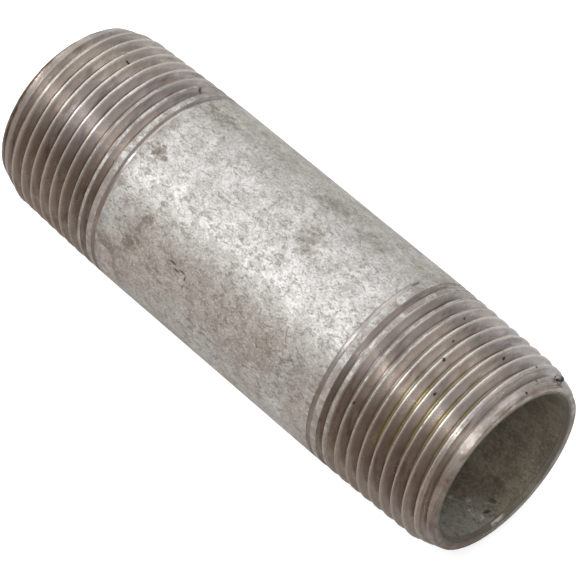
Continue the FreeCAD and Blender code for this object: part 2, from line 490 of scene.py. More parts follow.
outer_zinc = finish_mesh(coat, "outer_zinc")
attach(outer_zinc, "root")
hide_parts("outer_zinc_coat")

# %% [markdown]
# ## The zinc in the bore
#
# Zinc runs and sets unevenly inside a pipe, so the bore coat gets low waves. It is drawn along
# the axis from a ring, and its ends carry on the 45 degree ream.

# %% The bore coat
BORE_RINGS = 60
BORE_UNEVENNESS = 0.05 * MM
BORE_FADE = 1.5 * MM
INNER_END = BORE_LENGTH_HALF - (STEEL_BORE_R - LINED_R)


def share_of_bore(vertex):
    """1 along the inner wall of the lining, and 0 at its ends and on its outside."""
    if distance_from_axis(vertex.co) > (LINED_R + STEEL_BORE_R) / 2:
        return 0.0
    return smooth_step(INNER_END - abs(vertex.co.x), 0.0, BORE_FADE)


lining = bmesh.new()
start = ring(lining, INNER_END, LINED_R)
far = draw_ring(lining, start, -INNER_END, steps=BORE_RINGS)
far = draw_ring(lining, far, -BORE_LENGTH_HALF, STEEL_BORE_R)
far = draw_ring(lining, far, BORE_LENGTH_HALF)
draw_ring(lining, far, INNER_END, LINED_R)
bmesh.ops.remove_doubles(lining, verts=lining.verts, dist=SAME_PLACE)
roughen(lining.verts, BORE_UNEVENNESS, sizes=(0.38, 0.14), share_at=share_of_bore)
bore_zinc = finish_mesh(lining, "bore_zinc")
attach(bore_zinc, "root")
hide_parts("bore_zinc_coat")

# %% [markdown]
# ## Burrs and chips
#
# A die leaves chips behind: a curled one caught at the rim, short ones stuck on the crests and
# torn ones round the reamed mouth. Each starts as a small ring that is extruded along a bend
# and scaled down, so that it tapers. They are one object, because they are all the same
# steel and none of them moves.

# %% Where the burrs are
# Each row: mm along, degrees round from the facing line, length and thickness in mm, lean.
CREST_CHIPS = [
    (37.0, -76.0, 1.5, 0.42, 0.25),
    (37.4, -82.0, 0.9, 0.30, -0.3),
    (32.3, -51, 0.40, 0.10, 0.6),
    (28.5, -23, 0.34, 0.09, -0.5),
    (25.0, -55, 0.40, 0.09, 0.3),
    (36.6, -55, 0.40, 0.11, 0.9),
    (37.3, -43, 0.34, 0.10, -0.2),
    (27.0, 9, 0.36, 0.08, 0.4),
    (-31.0, -44, 0.60, 0.11, -0.6),
    (-26.0, 160, 0.50, 0.10, 0.3),
    (30.2, 142, 0.45, 0.09, -0.4),
]
MOUTH_CHIPS = [
    (37.85, 150, 1.1, 0.11, 0.0),
    (37.80, 141, 0.7, 0.09, -0.15),
    (37.82, 162, 0.8, 0.10, -0.1),
    (37.85, 171, 0.5, 0.07, 0.0),
    (37.84, -48, 0.8, 0.08, -0.1),
    (37.85, -66, 0.6, 0.07, 0.0),
    (-37.85, 35, 0.7, 0.08, 0.1),
    (-37.84, -120, 0.9, 0.09, 0.0),
]
# The facing line runs along the pipe where it faces the camera, at this angle round it.
FACING_ANGLE = 117.9
print("chips on the crests:", len(CREST_CHIPS), "and round the mouths:", len(MOUTH_CHIPS))

# %% The burrs
CHIP_STEPS = 7
CHIP_CURL = 0.16
CHIP_TIP = 0.02
CHIP_TEARS = 3
CREST_MARGIN = 0.5 * MM
MOUTH_BITE = 0.03 * MM


def chip(mesh, x, around_degrees, radius, length, thickness, lean):
    """A curled, tapering chip that lies round the pipe from a place on its surface."""
    angle = math.radians(FACING_ANGLE + around_degrees)
    out = Vector((0, math.cos(angle), math.sin(angle)))
    direction = (Vector((lean, -math.sin(angle), math.cos(angle)))).normalized()
    side = direction.cross(out).normalized()
    start = Vector((x, 0, 0)) + out * radius
    turn = Matrix((side, direction.cross(side), direction)).transposed().to_4x4()
    made = bmesh.ops.create_circle(mesh, cap_ends=True, segments=8, radius=thickness,
                                   matrix=Matrix.Translation(start) @ turn)["verts"]
    edges = edges_among(mesh.edges, made)
    for step in range(1, CHIP_STEPS + 1):
        share = step / CHIP_STEPS
        edges, moved = extrude_ring(mesh, edges)
        centre = sum((vertex.co for vertex in moved), Vector()) / len(moved)
        rise = CHIP_CURL * length * math.sin(math.pi * share)
        goal = start + direction * length * share + out * rise
        narrowing = (1 + CHIP_TIP - share) / (1 + CHIP_TIP - (step - 1) / CHIP_STEPS)
        for vertex in moved:
            vertex.co = goal + (vertex.co - centre) * narrowing
            ragged = noise.noise(vertex.co / MM * CHIP_TEARS) * thickness * (1 - share)
            vertex.co += (vertex.co - goal).normalized() * 0.5 * ragged
    bmesh.ops.edgeloop_fill(mesh, edges=edges)


chips = bmesh.new()
for x, around, length, thickness, lean in CREST_CHIPS:
    end = 1 if x > 0 else -1
    crest_x = groove_middle(x * MM + PITCH / 2, math.radians(FACING_ANGLE + around)) - PITCH / 2
    crest_x = min(max(crest_x, CREST_MARGIN - HALF_LENGTH), HALF_LENGTH - CREST_MARGIN)
    crest_r = cut_surface_radius(HALF_LENGTH - end * crest_x, steel_radius)
    chip(chips, crest_x, around, crest_r + 0.3 * thickness * MM, length * MM,
         thickness * MM, lean)
for x, around, length, thickness, lean in MOUTH_CHIPS:
    chip(chips, x * MM, around, MOUTH_R - MOUTH_BITE, length * MM, thickness * MM, lean)
die_chips = finish_mesh(chips, "die_chips", sharp_degrees=60)
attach(die_chips, "root")

# %% [markdown]
# ## Node helpers
#
# Every material here is made of nodes. Small functions keep the code short: one adds a node
# and either links or sets each of its inputs, one paints a colour over another where a mask
# says, and one starts a node group with named sockets.

# %% Helpers for nodes
def add_node(tree, kind, inputs=None, **settings):
    """Add a node, set its properties, and link or set its inputs by name or number."""
    node = tree.nodes.new(kind)
    for name, value in settings.items():
        setattr(node, name, value)
    for name, value in (inputs or {}).items():
        socket = node.inputs[name]
        if isinstance(value, bpy.types.NodeSocket):
            tree.links.new(value, socket)
        else:
            socket.default_value = value
    return node


def calculate(tree, operation, *values):
    """A Math node; returns its output."""
    inputs = dict(enumerate(values))
    return add_node(tree, "ShaderNodeMath", inputs, operation=operation).outputs[0]


def remap(tree, value, from_low, from_high, to_low=0.0, to_high=1.0):
    """Spread a range of values smoothly over another."""
    inputs = {"Value": value, "From Min": from_low, "From Max": from_high,
              "To Min": to_low, "To Max": to_high}
    return add_node(
        tree, "ShaderNodeMapRange", inputs, interpolation_type="SMOOTHSTEP"
    ).outputs["Result"]


def blend_colour(tree, share, first, second, blend_type="MIX"):
    """Mix two colours by a share; returns the colour."""
    mix = add_node(tree, "ShaderNodeMix", data_type="RGBA", blend_type=blend_type)
    colours = [socket for socket in mix.inputs if socket.type == "RGBA"]
    for socket, value in ((mix.inputs[0], share), (colours[0], first), (colours[1], second)):
        if isinstance(value, bpy.types.NodeSocket):
            tree.links.new(value, socket)
        else:
            socket.default_value = value
    return next(socket for socket in mix.outputs if socket.type == "RGBA")


def paint(tree, ground, colour, mask, strength=1.0, blend_type="MIX"):
    """Lay a colour over the ground where the mask is bright; returns the new ground."""
    if strength != 1.0:
        mask = calculate(tree, "MULTIPLY", mask, strength)
    return blend_colour(tree, mask, ground, colour, blend_type)


def noise_at(tree, place, scale, detail=4.0, roughness=0.55, distortion=0.0):
    """A noise texture's value at a place."""
    inputs = {"Vector": place, "Scale": scale, "Detail": detail,
              "Roughness": roughness, "Distortion": distortion}
    return add_node(tree, "ShaderNodeTexNoise", inputs).outputs[0]


def new_group(name, sockets_in, sockets_out):
    """A node group with named sockets; returns it with its input and output nodes."""
    group = bpy.data.node_groups.new(name, "ShaderNodeTree")
    for socket_name, kind, value in sockets_in:
        socket = group.interface.new_socket(
            name=socket_name, in_out="INPUT", socket_type="NodeSocket" + kind
        )
        if value is not None:
            socket.default_value = value
    for socket_name, kind in sockets_out:
        group.interface.new_socket(
            name=socket_name, in_out="OUTPUT", socket_type="NodeSocket" + kind
        )
    return group, add_node(group, "NodeGroupInput"), add_node(group, "NodeGroupOutput")


def use_group(tree, group, inputs=None):
    """Place a group in a tree; returns its outputs."""
    return add_node(tree, "ShaderNodeGroup", inputs, node_tree=group).outputs


def say_nodes(name, tree):
    """Print how many nodes a group or a material has so far."""
    print(name, "has", len(tree.nodes), "nodes")


print("node helpers ready")

# %% [markdown]
# ## Finding a place on the pipe
#
# Stains, oil and scratches sit at particular places, so they need coordinates that follow the
# surface: millimetres along the pipe from its middle, degrees round it and millimetres out
# from its axis. All come from Object coordinates, because every piece sits at the origin. The
# turn of a Mapping node puts the datum on the facing line, and the seam on the far side.

# %% Group: pipe coordinates
pipe_place, _, place_out = new_group(
    "pipe place", [],
    [("Along", "Float"), ("Around", "Float"), ("Radius", "Float"), ("Place", "Vector")],
)
object_place = add_node(pipe_place, "ShaderNodeTexCoord").outputs["Object"]
in_mm = add_node(pipe_place, "ShaderNodeVectorMath",
                 {0: object_place, 1: (1 / MM, 1 / MM, 1 / MM)}, operation="MULTIPLY").outputs[0]
turned = add_node(pipe_place, "ShaderNodeMapping",
                  {"Vector": in_mm, "Rotation": (-math.radians(FACING_ANGLE), 0, 0)}).outputs[0]
parts = add_node(pipe_place, "ShaderNodeSeparateXYZ", {0: turned}).outputs
around_radians = calculate(pipe_place, "ARCTAN2", parts["Z"], parts["Y"])
pipe_place.links.new(parts["X"], place_out.inputs["Along"])
pipe_place.links.new(calculate(pipe_place, "DEGREES", around_radians), place_out.inputs["Around"])
from_axis = add_node(pipe_place, "ShaderNodeVectorMath", {0: turned, 1: (0, 1, 1)},
                     operation="MULTIPLY").outputs[0]
radius = add_node(pipe_place, "ShaderNodeVectorMath", {0: from_axis},
                  operation="LENGTH").outputs["Value"]
pipe_place.links.new(radius, place_out.inputs["Radius"])
pipe_place.links.new(turned, place_out.inputs["Place"])
say_nodes("pipe place", pipe_place)

# %% [markdown]
# A mark is a soft-edged oval at a place, whose outline a noise makes ragged. One group serves
# stains, oil, scorches and rubbed spots on all three metals.

# %% Group: a mark at a place
DEGREES_PER_MM = 360 / (math.tau * ZINC_R / MM)
OUTER_EDGE, INNER_EDGE = 1.0, 0.35
EDGE_SWING = 4.0

mark_group, mark_in, mark_out = new_group(
    "mark",
    [("Along", "Float", 0.0), ("Around", "Float", 0.0), ("Width", "Float", 2.0),
     ("Height", "Float", 2.0), ("Raggedness", "Float", 0.5), ("Grain", "Float", 1.2),
     ("Lean", "Float", 0.0)],
    [("Mask", "Float")],
)
here = use_group(mark_group, pipe_place)
offset_along = calculate(mark_group, "SUBTRACT", here["Along"], mark_in.outputs["Along"])
offset_around = calculate(mark_group, "SUBTRACT", here["Around"], mark_in.outputs["Around"])
offset_around = calculate(mark_group, "DIVIDE", offset_around, DEGREES_PER_MM)
leaning = calculate(mark_group, "MULTIPLY", offset_around, mark_in.outputs["Lean"])
offset_along = calculate(mark_group, "SUBTRACT", offset_along, leaning)
scaled_along = calculate(mark_group, "DIVIDE", offset_along, mark_in.outputs["Width"])
scaled_around = calculate(mark_group, "DIVIDE", offset_around, mark_in.outputs["Height"])
squares = calculate(
    mark_group, "ADD", calculate(mark_group, "MULTIPLY", scaled_along, scaled_along),
    calculate(mark_group, "MULTIPLY", scaled_around, scaled_around),
)
reach = calculate(mark_group, "SQRT", squares)
rough_edge = noise_at(mark_group, here["Place"], mark_in.outputs["Grain"], detail=5.0)
rough_edge = calculate(mark_group, "SUBTRACT", rough_edge, 0.5)
rough_edge = calculate(mark_group, "MULTIPLY", rough_edge, mark_in.outputs["Raggedness"])
rough_edge = calculate(mark_group, "MULTIPLY", rough_edge, EDGE_SWING)
reach = calculate(mark_group, "ADD", reach, rough_edge)
mark_group.links.new(remap(mark_group, reach, OUTER_EDGE, INNER_EDGE), mark_out.inputs["Mask"])
say_nodes("mark", mark_group)


def marks(tree, places, raggedness=0.5):
    """The strongest of several marks at each point, each row with its own strength."""
    total = None
    for along, around, width, height, strength, lean in places:
        mask = use_group(tree, mark_group, {
            "Along": along, "Around": around, "Width": width, "Height": height, "Lean": lean,
            "Raggedness": raggedness,
        })["Mask"]
        mask = calculate(tree, "MULTIPLY", mask, strength)
        total = mask if total is None else calculate(tree, "MAXIMUM", total, mask)
    return total


# %% [markdown]
# Galvanised and machined metal both look mottled because grains, specks, larger clouds and
# slow changes of tint lie on top of each other. This group gives them all at once, with the
# specks and grains drawn out along the pipe, or round it where the value is above one.

# %% Group: mottling in four sizes
GRAINS_TO_A_SPECK = 3.1
TINT_SIZE = 0.11

mottle_group, mottle_in, mottle_out = new_group(
    "mottle",
    [("Clouds size", "Float", 0.35), ("Specks size", "Float", 2.4), ("Drawn out", "Float", 0.6)],
    [("Clouds", "Float"), ("Specks", "Float"), ("Grain", "Float"), ("Tint", "Float")],
)
here = use_group(mottle_group, pipe_place)
stretch = add_node(mottle_group, "ShaderNodeCombineXYZ",
                   {"X": mottle_in.outputs["Drawn out"], "Y": 1.0, "Z": 1.0}).outputs[0]
drawn = add_node(mottle_group, "ShaderNodeVectorMath", {0: here["Place"], 1: stretch},
                 operation="MULTIPLY").outputs[0]
clouds = noise_at(mottle_group, here["Place"], mottle_in.outputs["Clouds size"], 7.0, 0.62, 0.4)
specks = noise_at(mottle_group, drawn, mottle_in.outputs["Specks size"], 5.0, 0.7, 0.8)
grain_size = calculate(mottle_group, "MULTIPLY", mottle_in.outputs["Specks size"],
                       GRAINS_TO_A_SPECK)
grain = noise_at(mottle_group, drawn, grain_size, 3.0, 0.6)
tint = noise_at(mottle_group, here["Place"], TINT_SIZE, 2.0, 0.5)
for name, value in (("Clouds", clouds), ("Specks", specks), ("Grain", grain), ("Tint", tint)):
    mottle_group.links.new(value, mottle_out.inputs[name])
say_nodes("mottle", mottle_group)

# %% Starting and finishing a metal
def metal_material(name, metallic):
    """A material as metallic as its skin of oxide leaves it, with its tree and Principled node."""
    material = bpy.data.materials.new(name)
    material.use_nodes = True
    tree = material.node_tree
    surface = next(node for node in tree.nodes if node.type == "BSDF_PRINCIPLED")
    surface.inputs["Metallic"].default_value = metallic
    return material, tree, surface


def set_surface(tree, surface, colour, roughness, height, bump_mm):
    """Link a colour, a roughness and a bump height to the Principled node."""
    tree.links.new(colour, surface.inputs["Base Color"])
    tree.links.new(roughness, surface.inputs["Roughness"])
    bump = add_node(tree, "ShaderNodeBump", {"Height": height, "Distance": bump_mm * MM,
                                             "Strength": 1.0})
    tree.links.new(bump.outputs["Normal"], surface.inputs["Normal"])


print("metal helpers ready")

# %% [markdown]
# ## Zinc, outside
#
# Hot-dip zinc weathers to a warm grey with small dark pits. It could be one bumpy grey, but
# real zinc is never one colour, so it is painted in layers, the widest first. The ground is
# cloudy, with a greenish cast on the far side. The lower side is darker and browner, partly
# from the zinc's own tint and partly as painted shade. Its metallic value is below one,
# because a skin of oxide dulls the metal.

# %% Outside zinc: the ground
ZINC_DULL = (0.455, 0.44, 0.42, 1)
ZINC_PALE = (0.61, 0.60, 0.585, 1)
BROWN_CAST_AND_PAINTED_SHADE = (0.72, 0.62, 0.54, 1)
GREEN_CAST = (0.86, 0.86, 0.76, 1)

zinc_out, tree, surface = metal_material("outside zinc", 0.72)
mottle = use_group(tree, mottle_group, {"Clouds size": 0.55, "Specks size": 1.7})
here = use_group(tree, pipe_place)
ground = blend_colour(tree, remap(tree, mottle["Clouds"], 0.36, 0.66), ZINC_DULL, ZINC_PALE)
# Painted shade, partly a real brown tint: the lower side is darkened and browned.
lower_side = remap(tree, here["Around"], 2.0, 34.0)
brown_and_painted_shade = calculate(tree, "MULTIPLY", lower_side, remap(tree, mottle["Tint"], 0.2, 0.55))
ground = paint(tree, ground, BROWN_CAST_AND_PAINTED_SHADE, brown_and_painted_shade, 0.75, "MULTIPLY")
far_side = remap(tree, here["Around"], -38.0, -70.0)
ground = paint(tree, ground, GREEN_CAST, far_side, 0.5, "MULTIPLY")
say_nodes("outside zinc", tree)

# %% [markdown]
# Specks and grains come from two sizes of the same mottling. The fine squiggles are the lines
# where a twisted noise crosses its middle value. Next to the threads the die has rubbed the
# zinc dark in patches.

# %% Outside zinc: specks, squiggles and rubbing
SPECK_BROWN = (0.27, 0.24, 0.205, 1)
GRAIN_BROWN = (0.26, 0.23, 0.20, 1)
SQUIGGLE_DARK = (0.13, 0.11, 0.09, 1)
GRAIN_BRIGHT = (0.82, 0.81, 0.79, 1)
RUBBED_GREY = (0.30, 0.26, 0.235, 1)
# Millimetres from the pipe's middle.
RUBBED_FROM, RUBBED_TO = 17.0, 20.5

speck_mask = remap(tree, mottle["Specks"], 0.50, 0.66)
speck_strength = remap(tree, here["Around"], 5.0, 30.0, 0.50, 0.90)
ground = paint(tree, ground, SPECK_BROWN, speck_mask, speck_strength)
ground = paint(tree, ground, GRAIN_BROWN, remap(tree, mottle["Grain"], 0.50, 0.66), 0.55)
squiggles = noise_at(tree, here["Place"], 1.7, 2.0, 0.5, distortion=2.2)
line = calculate(tree, "ABSOLUTE", calculate(tree, "SUBTRACT", squiggles, 0.5))
line = calculate(tree, "MULTIPLY", remap(tree, line, 0.034, 0.010),
                 remap(tree, mottle["Specks"], 0.48, 0.58))
ground = paint(tree, ground, SQUIGGLE_DARK, line, 0.6)
ground = paint(tree, ground, GRAIN_BRIGHT, remap(tree, mottle["Grain"], 0.46, 0.32), 0.40)
off_middle = calculate(tree, "ABSOLUTE", here["Along"])
rubbed = remap(tree, off_middle, RUBBED_FROM, RUBBED_TO)
patches = remap(tree, mottle["Clouds"], 0.60, 0.42, 0.2, 0.85)
ground = paint(tree, ground, RUBBED_GREY, calculate(tree, "MULTIPLY", rubbed, patches))
say_nodes("outside zinc", tree)

# %% Outside zinc: stains and scratches
# Each row: mm along, degrees round, half width and half height in mm, strength, lean.
ZINC_STAINS = [
    (-17.2, -11, 2.6, 1.1, 0.85, 0.0),
    (-12.9, 22, 0.8, 4.0, 0.65, -0.25),
    (-13.8, 38, 1.4, 2.2, 0.75, -0.3),
    (-17.0, 49, 2.8, 1.2, 0.75, 0.0),
    (-15.2, 63, 0.9, 3.8, 0.60, 0.1),
    (5.6, -26, 2.6, 2.6, 0.50, 0.1),
    (5.9, 25, 0.6, 2.2, 0.40, 0.0),
    (14.6, 36, 3.0, 3.2, 0.45, 0.0),
    (9.3, 33, 2.0, 1.1, 0.40, 0.0),
    (-1.9, 52, 0.45, 2.2, 0.50, 0.3),
    (10.2, 55, 0.35, 0.35, 0.80, 0.0),
    (-1.0, -4, 1.0, 0.35, 0.60, 0.5),
    (-16.5, -52, 3.0, 1.8, 0.55, 0.0),
    (3.0, -55, 4.0, 1.8, 0.48, 0.0),
    (10.0, -52, 3.0, 1.8, 0.50, 0.0),
    (-6.0, 150, 4.0, 3.0, 0.5, 0.1),
    (8.0, -150, 3.0, 2.0, 0.6, 0.3),
    (-12.0, -110, 2.5, 2.5, 0.5, 0.0),
    (2.0, 115, 2.0, 3.0, 0.5, -0.2),
]
SCRATCH = [
    (-6.8, 29.4, 0.80, 0.20, 1.0, 0.6),
    (-5.9, 31.8, 0.55, 0.20, 0.9, 0.0),
    (-5.0, 30.4, 0.70, 0.18, 0.9, 0.4),
    (-4.4, 32.4, 0.22, 0.50, 0.9, 0.0),
    (2.2, 12.0, 1.10, 0.10, 0.5, 0.0),
    (11.4, 20.0, 0.12, 1.10, 0.5, 0.5),
    (-10.2, -18.0, 0.70, 0.11, 0.5, 0.0),
]
STAIN_BROWN = (0.20, 0.165, 0.13, 1)
SCRATCH_DARK = (0.10, 0.085, 0.07, 1)

stain_mask = marks(tree, ZINC_STAINS, 0.75)
stain_mask = calculate(tree, "MULTIPLY", stain_mask,
                       remap(tree, mottle["Specks"], 0.36, 0.56, 0.45, 1.0))
colour = paint(tree, ground, STAIN_BROWN, stain_mask)
colour = paint(tree, colour, SCRATCH_DARK, marks(tree, SCRATCH, 0.25))
say_nodes("outside zinc", tree)

# %% [markdown]
# The specks and stains are a little rougher than the zinc round them, and the specks are sunk
# a few microns. The relief is stronger where the die rubbed the zinc.

# %% Outside zinc: roughness and relief
ZINC_RELIEF_MM = 0.05

dull = calculate(tree, "ADD", remap(tree, mottle["Clouds"], 0.3, 0.7, 0.58, 0.50),
                 calculate(tree, "MULTIPLY", speck_mask, 0.12))
dull = calculate(tree, "ADD", dull, calculate(tree, "MULTIPLY", stain_mask, 0.12))
relief = calculate(tree, "ADD", calculate(tree, "MULTIPLY", mottle["Clouds"], 0.35),
                   calculate(tree, "MULTIPLY", mottle["Grain"], 0.6))
relief = calculate(tree, "SUBTRACT", relief, calculate(tree, "MULTIPLY", speck_mask, 0.3))
stronger = remap(tree, off_middle, RUBBED_FROM, RUBBED_TO, 1.0, 2.2)
relief = calculate(tree, "MULTIPLY", relief, stronger)
set_surface(tree, surface, colour, dull, relief, ZINC_RELIEF_MM)
outer_zinc.data.materials.append(zinc_out)
say_nodes("outside zinc", tree)

# %% [markdown]
# ## Cut steel
#
# A die leaves bare steel: dull, slightly purple in places from heat, streaked round the pipe
# by the cutting edges and torn bright along the thin crests. A pattern that only followed the
# pipe's length would miss the crests, so the two attributes that came with the mesh tell
# crest from flank from root.

# %% Cut steel: the ground
STEEL_DULL = (0.30, 0.255, 0.23, 1)
STEEL_PALE = (0.43, 0.395, 0.365, 1)
GROOVE_PAINTED_LIGHT = (1.6, 1.6, 1.6, 1)
HEAT_PURPLE = (0.34, 0.32, 0.37, 1)
STREAK_PALE = (0.46, 0.42, 0.385, 1)
STREAK_DARK = (0.15, 0.12, 0.10, 1)
# Streaks are short along the pipe and long round it. The flanks lean, so some of the radius is
# added to the length, and the streaks run on down each flank.
STREAK_SHAPE = (3.2, 0.11, 0.11)
RADIUS_TO_LENGTH = 0.8

steel, tree, surface = metal_material("cut steel", 0.74)
mottle = use_group(tree, mottle_group,
                   {"Clouds size": 0.5, "Specks size": 2.6, "Drawn out": 1.4})
here = use_group(tree, pipe_place)
down = add_node(tree, "ShaderNodeAttribute", attribute_name="groove_depth").outputs["Fac"]
thin = add_node(tree, "ShaderNodeAttribute", attribute_name="thin_crest").outputs["Fac"]
outward = calculate(tree, "MULTIPLY", here["Radius"], RADIUS_TO_LENGTH)
outward = add_node(tree, "ShaderNodeCombineXYZ", {"X": outward}).outputs[0]
streak_place = add_node(tree, "ShaderNodeVectorMath", {0: here["Place"], 1: outward},
                        operation="ADD").outputs[0]
streak_place = add_node(tree, "ShaderNodeVectorMath", {0: streak_place, 1: STREAK_SHAPE},
                        operation="MULTIPLY").outputs[0]
streaks = noise_at(tree, streak_place, 1.2, 5.0, 0.66)
ground = blend_colour(tree, remap(tree, mottle["Clouds"], 0.34, 0.66), STEEL_DULL, STEEL_PALE)
# Painted light: the lower flanks and roots are lightened to offset the shade deep in the groove.
ground = paint(tree, ground, GROOVE_PAINTED_LIGHT, remap(tree, down, 0.10, 0.75), blend_type="MULTIPLY")
ground = paint(tree, ground, HEAT_PURPLE, remap(tree, mottle["Tint"], 0.46, 0.60), 0.4)
ground = paint(tree, ground, STREAK_PALE, remap(tree, streaks, 0.38, 0.62, 0.0, 0.6))
ground = paint(tree, ground, STREAK_DARK, remap(tree, streaks, 0.46, 0.32, 0.0, 0.55))
say_nodes("cut steel", tree)

# %% [markdown]
# The thin crests and the flakes near them are the palest steel, because they are freshly
# torn. Low on the near side the steel is darkened and browned as painted shade, and the
# bottom of each groove is dark.
# Cutting oil dries yellow there.

# %% Cut steel: crests, roots and oil
CREST_BRIGHT = (0.72, 0.67, 0.60, 1)
FLAKE_BRIGHT = (0.74, 0.69, 0.62, 1)
UNDER_SIDE_PAINTED_SHADE = (0.62, 0.54, 0.48, 1)
ROOT_DARK = (0.11, 0.085, 0.07, 1)
OIL_YELLOW = (0.29, 0.245, 0.12, 1)
# Rows as for the stains.
OIL_LINES = [
    (31.0, 4, 5.5, 9.5, 1.0, 0.0),
    (28.5, 22, 3.6, 6.0, 0.9, 0.0),
    (34.2, -12, 1.2, 4.0, 0.8, 0.0),
]

torn = remap(tree, mottle["Grain"], 0.34, 0.62, 0.15, 1.0)
crest_mask = calculate(tree, "MULTIPLY", remap(tree, thin, 0.55, 1.0), torn)
ground = paint(tree, ground, CREST_BRIGHT, crest_mask)
flakes = calculate(tree, "MULTIPLY", remap(tree, down, 0.34, 0.08),
                   remap(tree, mottle["Specks"], 0.60, 0.66))
ground = paint(tree, ground, FLAKE_BRIGHT, flakes, 0.85)
# Painted shade: the steel low on the near side is darkened and browned.
painted_shade_low_side = calculate(tree, "MULTIPLY", remap(tree, here["Around"], -2.0, 32.0),
                       remap(tree, here["Around"], 150.0, 110.0))
ground = paint(tree, ground, UNDER_SIDE_PAINTED_SHADE, painted_shade_low_side, blend_type="MULTIPLY")
ground = paint(tree, ground, ROOT_DARK, remap(tree, down, 0.86, 0.98), 0.6)
oil = calculate(tree, "MULTIPLY", marks(tree, OIL_LINES), remap(tree, down, 0.78, 0.94))
ground = paint(tree, ground, OIL_YELLOW, oil)
say_nodes("cut steel", tree)

# %% [markdown]
# The end faces were cut off square and reamed. They have a brown stain, one dark scored line
# and a dark, ragged inner edge, with a painted highlight on the ragged lip at the near mouth.

# %% Cut steel: the end faces
RIM_BROWN = (0.62, 0.52, 0.43, 1)
SCORE_DARK = (0.14, 0.11, 0.09, 1)
EDGE_DARK = (0.115, 0.10, 0.075, 1)
LIP_PAINTED_HIGHLIGHT = (0.78, 0.75, 0.72, 1)
# Millimetres from the pipe's middle, and from its axis.
RIM_FROM, RIM_TO = 37.3, 38.0
SCORE_RADIUS = 11.80
EDGE_FROM, EDGE_TO = 11.42, 11.22
# Where the painted highlight on the near mouth's lip lies.
LIP_HIGHLIGHT_SPOT = [
    (37.75, 150, 0.45, 1.5, 0.75, 0.0),
]

from_middle = calculate(tree, "ABSOLUTE", here["Along"])
rim = remap(tree, from_middle, RIM_FROM, RIM_TO)
rim_stain = calculate(tree, "MULTIPLY", rim, remap(tree, mottle["Clouds"], 0.40, 0.60, 0.9, 0.2))
ground = paint(tree, ground, RIM_BROWN, rim_stain, blend_type="MULTIPLY")
line = calculate(tree, "ABSOLUTE", calculate(tree, "SUBTRACT", here["Radius"], SCORE_RADIUS))
line = calculate(tree, "MULTIPLY", remap(tree, line, 0.12, 0.02), rim)
ground = paint(tree, ground, SCORE_DARK, line, 0.6)
ragged_radius = calculate(tree, "ADD", here["Radius"], calculate(tree, "MULTIPLY", torn, 0.22))
ground = paint(tree, ground, EDGE_DARK, remap(tree, ragged_radius, EDGE_FROM, EDGE_TO), 0.92)
# A painted highlight on the ragged lip of the near mouth.
ground = paint(tree, ground, LIP_PAINTED_HIGHLIGHT, marks(tree, LIP_HIGHLIGHT_SPOT, 0.7), 0.55)
say_nodes("cut steel", tree)

# %% Cut steel: dark flecks, roughness and relief
# Some of the flecks lie under the chips, and the rest stand for chips too small to model.
DARK_FLECKS = [
    (-31.0, -44, 0.22, 0.75, 1.0, -0.6),
    (-22.2, -62, 0.25, 0.5, 0.9, 0.0),
    (32.3, -51, 0.16, 0.40, 1.0, 0.0),
    (25.0, -55, 0.14, 0.45, 0.9, 0.0),
    (28.5, -23, 0.16, 0.34, 1.0, 0.0),
    (27.0, -37, 0.13, 0.30, 0.9, 0.0),
    (30.6, -6, 0.14, 0.32, 1.0, 0.0),
    (31.9, 3, 0.12, 0.28, 0.9, 0.0),
    (32.1, 10, 0.15, 0.30, 0.8, 0.0),
    (23.3, 24, 0.15, 0.32, 0.8, 0.0),
    (20.9, 59, 0.30, 1.2, 0.9, 0.0),
    (36.9, -55, 0.22, 0.32, 1.0, 0.0),
    (37.7, -43, 0.20, 0.28, 1.0, 0.0),
    (35.4, -62, 0.22, 0.30, 0.9, 0.0),
    (20.0, 46, 0.25, 0.5, 0.6, 0.0),
    (37.2, -78, 1.2, 1.6, 0.95, 0.0),
]
FLECK_DARK = (0.07, 0.05, 0.04, 1)
STEEL_RELIEF_MM = 0.06
# Millimetres from the pipe's middle, where the relief grows towards the end faces.
END_RELIEF_FROM, END_RELIEF_TO = 34.4, 36.0

strays = calculate(tree, "MULTIPLY", remap(tree, mottle["Specks"], 0.66, 0.76), 0.5)
fleck_mask = calculate(tree, "MAXIMUM", marks(tree, DARK_FLECKS), strays)
colour = paint(tree, ground, FLECK_DARK, fleck_mask)
dull = calculate(tree, "ADD", remap(tree, mottle["Clouds"], 0.3, 0.7, 0.34, 0.26),
                 calculate(tree, "MULTIPLY", crest_mask, 0.08))
stronger = remap(tree, from_middle, END_RELIEF_FROM, END_RELIEF_TO, 0.9, 2.6)
relief = calculate(tree, "MULTIPLY", streaks, stronger)
set_surface(tree, surface, colour, dull, relief, STEEL_RELIEF_MM)
threaded_tube.data.materials.append(steel)
die_chips.data.materials.append(steel)
say_nodes("cut steel", tree)

# %% [markdown]
# ## Zinc, in the bore
#
# Inside, the zinc never weathered evenly: it is darker and browner, speckled both dark and
# pale, with large pale greenish patches. It is hardly metallic, because its skin of
# oxide was never rubbed off. Close to each mouth it is dirty, with a few dark scraps.

# %% Bore zinc: colour
BORE_BROWN = (0.18, 0.15, 0.11, 1)
BORE_PALE = (0.29, 0.25, 0.19, 1)
PATCH_GREEN = (0.35, 0.35, 0.305, 1)
BORE_SPECK = (0.14, 0.12, 0.10, 1)
BORE_GRAIN_DARK = (0.09, 0.075, 0.055, 1)
BORE_GRAIN_PALE = (0.44, 0.41, 0.34, 1)
PATCH_FLECK = (0.70, 0.69, 0.61, 1)
MOUTH_DIRT = (0.11, 0.095, 0.07, 1)
SCRAP_DARK = (0.04, 0.03, 0.025, 1)
